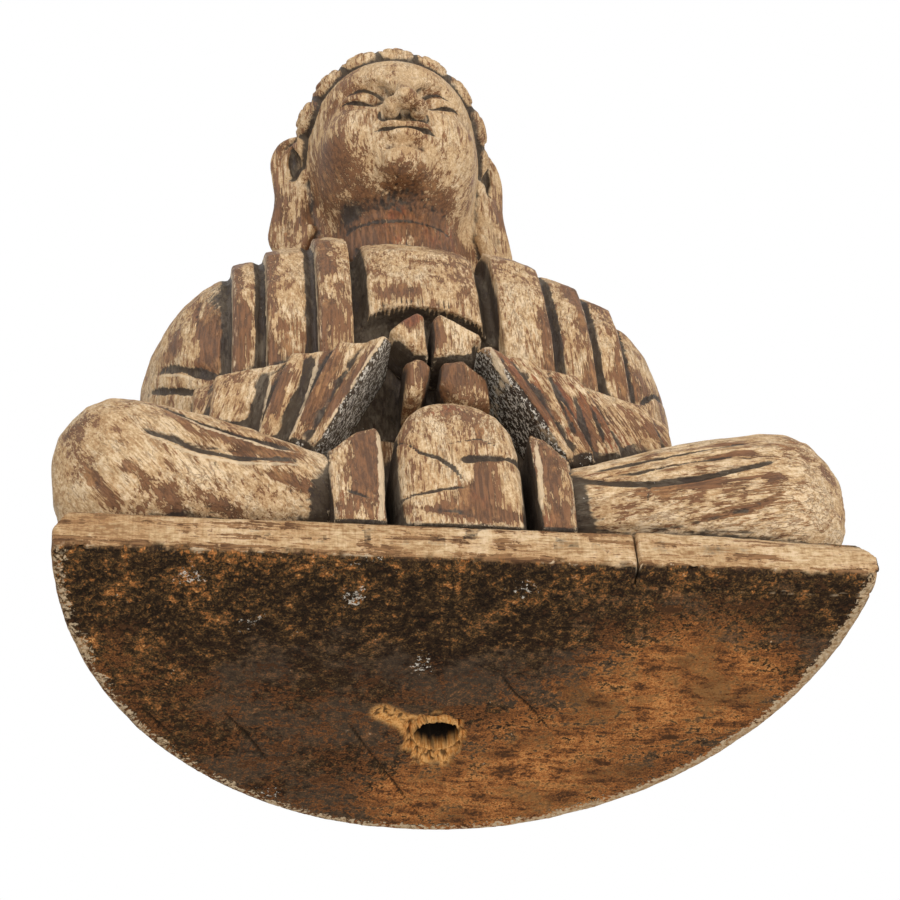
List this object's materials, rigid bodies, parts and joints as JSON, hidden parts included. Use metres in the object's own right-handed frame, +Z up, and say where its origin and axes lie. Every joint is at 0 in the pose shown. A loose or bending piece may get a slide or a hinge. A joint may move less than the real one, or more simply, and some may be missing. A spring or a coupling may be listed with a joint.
{
  "type": "wooden buddha statue",
  "caption": "Seated buddha carved in joined wooden blocks on a D-shaped plinth: stepped robe bands, pleated sleeves, long ears, snail curls, and a socket drilled up into its base.",
  "frame": {"origin": "under the middle of the plinth, on the surface that the statue stands on", "axes": "+Z up, -Y the way the figure faces, +X to the viewer's right"},
  "size_m": [0.308, 0.17, 0.3938],
  "materials": {
    "whitewashed_wood": "worn cream wash over brown wood, black patina in the grooves",
    "plinth_wood": "raw end grain, weathered black and orange brown, cream front band",
    "dowel_wood": "plain turned wood"
  },
  "bodies": {
    "root": {"plinth": "plinth_wood", "plinth_right_block": "whitewashed_wood", "hip_block": "whitewashed_wood", "lap_apron": "whitewashed_wood", "left_lap_fold": "whitewashed_wood", "right_lap_fold": "whitewashed_wood", "left_leg": "whitewashed_wood", "right_leg": "whitewashed_wood", "left_sleeve": "whitewashed_wood", "right_sleeve": "whitewashed_wood", "left_hand": "whitewashed_wood", "right_hand": "whitewashed_wood", "left_cuff": "whitewashed_wood", "right_cuff": "whitewashed_wood", "torso": "whitewashed_wood", "head": "whitewashed_wood", "neck_dowel": "dowel_wood", "torso_dowel_left": "dowel_wood", "torso_dowel_right": "dowel_wood", "hip_dowel_left": "dowel_wood", "hip_dowel_right": "dowel_wood", "leg_dowel_left": "dowel_wood", "leg_dowel_right": "dowel_wood"}
  },
  "joints": []
}
